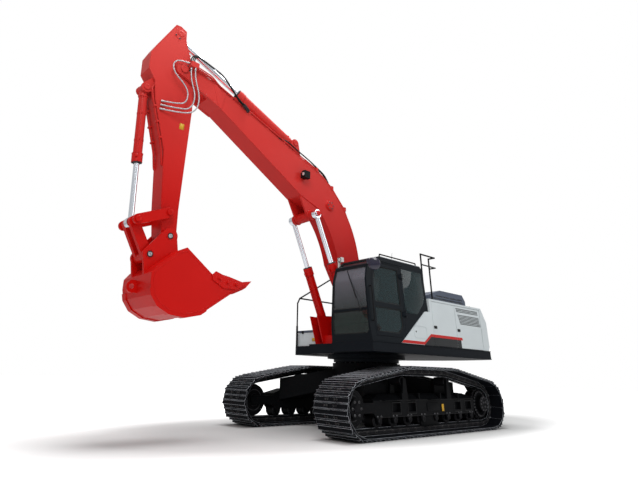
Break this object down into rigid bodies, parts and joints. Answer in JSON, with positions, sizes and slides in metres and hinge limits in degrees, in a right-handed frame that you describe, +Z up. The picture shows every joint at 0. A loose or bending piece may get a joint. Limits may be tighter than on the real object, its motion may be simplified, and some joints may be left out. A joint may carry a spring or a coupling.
{
  "type": "crawler excavator",
  "caption": "Tracked excavator with a slewing upper structure, left-hand cab, boom and arm moved by hydraulic cylinders, and a toothed digging bucket.",
  "frame": {"origin": "ground level, at the middle of the whole machine's length and width at rest; the slew axis is at x = -1.45 m", "axes": "+X forward along the boom, +Y to the operator's left (cab side), +Z up"},
  "size_m": [8.76, 3.34, 6.96],
  "materials": {
    "red_paint": "gloss enamel",
    "chrome_rod": "hard chrome",
    "track_steel": "worn dark steel",
    "frame_black": "satin black",
    "house_white": "gloss enamel",
    "deck_slate": "satin",
    "cab_slate": "satin",
    "window_glass": "tinted",
    "rail_black": "satin",
    "hood_grey": "satin",
    "seat_cloth": "woven",
    "engine_grey": "cast",
    "lamp": "clear",
    "mirror_shell": "gloss",
    "hose_silver": "braided sleeve"
  },
  "bodies": {
    "undercarriage": {"track_left": "track_steel", "track_right": "track_steel", "track_frame_left": "frame_black", "track_frame_right": "frame_black", "bottom_rollers": "frame_black", "carrier_rollers": "frame_black", "idlers": "track_steel", "sprockets": "track_steel", "final_drives": "frame_black", "carbody": "frame_black", "slew_ring_fixed": "frame_black"},
    "upper": {"slew_ring_moving": "frame_black", "deck": "deck_slate", "boom_bracket": "red_paint", "cab_shell": "cab_slate", "cab_glass": "window_glass", "operator_seat": "seat_cloth", "side_cover": "house_white", "house_frame": "house_white", "counterweight": "house_white", "engine": "engine_grey", "radiator": "engine_grey", "fuel_tank": "house_white", "hydraulic_tank": "house_white", "step_box": "deck_slate", "toolbox": "house_white", "right_handrail": "rail_black", "left_handrail": "rail_black", "roof_rail": "rail_black", "cab_mirrors": "mirror_shell", "work_lamps": "lamp"},
    "boom_body": {"boom": "red_paint", "boom_lamp": "frame_black", "joint_hoses": "hose_silver"},
    "arm_body": {"arm": "red_paint"},
    "bucket_body": {"bucket": "red_paint", "bucket_teeth": "red_paint"},
    "boom_barrel_body": {"boom_cylinder_barrels": "red_paint"},
    "boom_rod_body": {"boom_cylinder_rods": "chrome_rod"},
    "arm_barrel_body": {"arm_cylinder_barrel": "red_paint"},
    "arm_rod_body": {"arm_cylinder_rod": "chrome_rod"},
    "bucket_barrel_body": {"bucket_cylinder_barrel": "red_paint"},
    "bucket_rod_body": {"bucket_cylinder_rod": "chrome_rod"},
    "rocker_body": {"bucket_rockers": "red_paint"},
    "link_body": {"bucket_link": "red_paint"},
    "cab_door_body": {"cab_door": "cab_slate", "cab_door_glass": "window_glass"},
    "left_front_door_body": {"left_front_door": "house_white"},
    "left_rear_door_body": {"left_rear_door": "house_white"},
    "right_door_body": {"right_door": "house_white"},
    "hood_body": {"engine_hood": "hood_grey"},
    "toolbox_lid_body": {"toolbox_lid": "hood_grey"}
  },
  "joints": [
    {"name": "swing", "type": "hinge", "parent": "undercarriage", "child": "upper", "pos_m": [-1.45, 0, 1.2], "axis": [0, 0, 1], "continuous": true},
    {"name": "boom_lift", "type": "hinge", "parent": "upper", "child": "boom_body", "pos_m": [-1.3, 0, 1.95], "axis": [0, -1, 0], "range_deg": [-50, 25]},
    {"name": "arm_in", "type": "hinge", "parent": "boom_body", "child": "arm_body", "pos_m": [3.68, 0, 6.01], "axis": [0, 1, 0], "range_deg": [-80, 20]},
    {"name": "bucket_curl", "type": "hinge", "parent": "arm_body", "child": "bucket_body", "pos_m": [3.478, 0, 2.86], "axis": [0, 1, 0], "range_deg": [-80, 40]},
    {"name": "boom_barrel_turn", "type": "hinge", "parent": "upper", "child": "boom_barrel_body", "pos_m": [-0.71, 0, 1.58], "axis": [0, -1, 0], "range_deg": [-53, 26.75]},
    {"name": "boom_rod_slide", "type": "slide", "parent": "boom_barrel_body", "child": "boom_rod_body", "axis": [0.4191, 0, 0.908], "range_m": [-0.5799, 0.2909]},
    {"name": "arm_barrel_turn", "type": "hinge", "parent": "boom_body", "child": "arm_barrel_body", "pos_m": [0.81, 0, 5.49], "axis": [0, -1, 0], "range_deg": [-0.9, 2.1]},
    {"name": "arm_rod_slide", "type": "slide", "parent": "arm_barrel_body", "child": "arm_rod_body", "axis": [0.9174, 0, 0.3979], "range_m": [-1.0507, 0.2642]},
    {"name": "bucket_barrel_turn", "type": "hinge", "parent": "arm_body", "child": "bucket_barrel_body", "pos_m": [4.27, 0, 5.4], "axis": [0, -1, 0], "range_deg": [-2.92, 1.71]},
    {"name": "bucket_rod_slide", "type": "slide", "parent": "bucket_barrel_body", "child": "bucket_rod_body", "axis": [-0.0832, 0, -0.9965], "range_m": [-0.6253, 0.3136]},
    {"name": "rocker_turn", "type": "hinge", "parent": "arm_body", "child": "rocker_body", "pos_m": [3.57, 0, 3.22], "axis": [0, -1, 0], "range_deg": [-36.14, 71.77]},
    {"name": "link_turn", "type": "hinge", "parent": "bucket_body", "child": "link_body", "pos_m": [3.77, 0, 2.52], "axis": [0, -1, 0], "range_deg": [-52.96, 26.73]},
    {"name": "cab_door_open", "type": "hinge", "parent": "upper", "child": "cab_door_body", "pos_m": [-0.96, 1.48504, 1.4723], "axis": [0, -0.0584, 0.9983], "range_deg": [0, 160]},
    {"name": "left_front_door_open", "type": "hinge", "parent": "upper", "child": "left_front_door_body", "pos_m": [-2.687, 1.448, 1.9], "axis": [0, 0, 1], "range_deg": [0, 100]},
    {"name": "left_rear_door_open", "type": "hinge", "parent": "upper", "child": "left_rear_door_body", "pos_m": [-3.722, 1.448, 1.9], "axis": [0, 0, 1], "range_deg": [0, 100]},
    {"name": "right_door_open", "type": "hinge", "parent": "upper", "child": "right_door_body", "pos_m": [-3.722, -1.448, 1.9], "axis": [0, 0, -1], "range_deg": [0, 100]},
    {"name": "hood_open", "type": "hinge", "parent": "upper", "child": "hood_body", "pos_m": [-3.743, 0, 2.556], "axis": [0, -1, 0], "range_deg": [0, 60]},
    {"name": "toolbox_lid_open", "type": "hinge", "parent": "upper", "child": "toolbox_lid_body", "pos_m": [-1.27, 0, 1.81], "axis": [0, -1, 0], "range_deg": [0, 80]}
  ],
  "couplings": [
    {"joint": "boom_barrel_turn", "follows": "boom_lift", "ratio": 1.05},
    {"joint": "boom_rod_slide", "follows": "boom_lift", "m_per_rad": 0.6622},
    {"joint": "arm_barrel_turn", "follows": "arm_in", "ratio": -0.02},
    {"joint": "arm_rod_slide", "follows": "arm_in", "m_per_rad": 0.7511},
    {"joint": "bucket_barrel_turn", "follows": "bucket_curl", "ratio": 0.0302},
    {"joint": "bucket_rod_slide", "follows": "bucket_curl", "m_per_rad": 0.4464},
    {"joint": "rocker_turn", "follows": "bucket_curl", "ratio": -0.8909},
    {"joint": "link_turn", "follows": "bucket_curl", "ratio": 0.6557}
  ]
}
